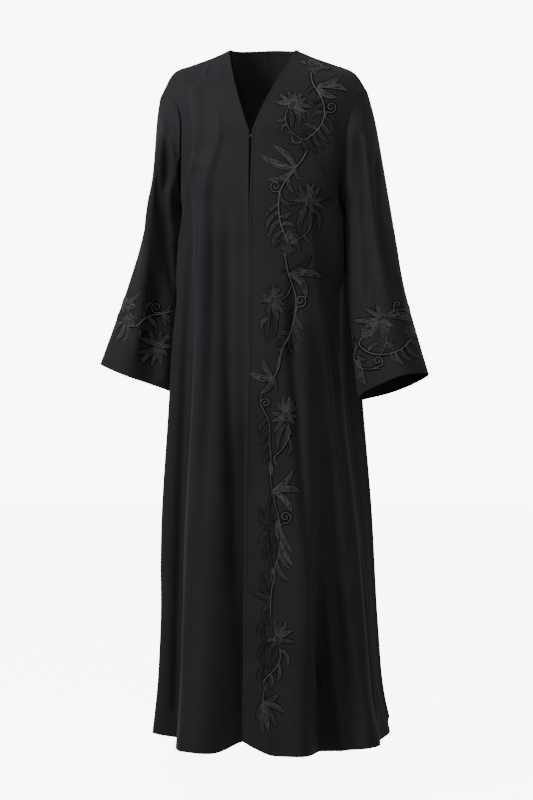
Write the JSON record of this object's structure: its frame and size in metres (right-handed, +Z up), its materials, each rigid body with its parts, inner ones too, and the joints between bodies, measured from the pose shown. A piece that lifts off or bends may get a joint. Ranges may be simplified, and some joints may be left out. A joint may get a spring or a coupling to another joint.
{
  "type": "abaya cloak",
  "caption": "Full-length open-front abaya cloak with a V neckline, wide flared sleeves and a tone-on-tone embroidered floral vine, held in its worn, hollow shape.",
  "frame": {"origin": "midway between the two points where the shoulder seams meet the neckline, where the wearer's shoulders carry the cloak", "axes": "+Z up along the wearer, -Y out of the front, +X to the wearer's left"},
  "size_m": [0.7033, 0.4599, 1.4596],
  "materials": {
    "crepe": "matte crepe with a soft sheen",
    "embroidery_thread": "silky satin-stitch thread",
    "hook_metal": "black lacquer"
  },
  "bodies": {
    "root": {"front_left": "crepe", "front_right": "crepe", "back_yoke_left": "crepe", "back_yoke_right": "crepe", "back_skirt_left": "crepe", "back_skirt_right": "crepe", "sleeve_left": "crepe", "sleeve_right": "crepe", "hook_upper": "hook_metal", "hook_lower": "hook_metal"}
  },
  "joints": []
}
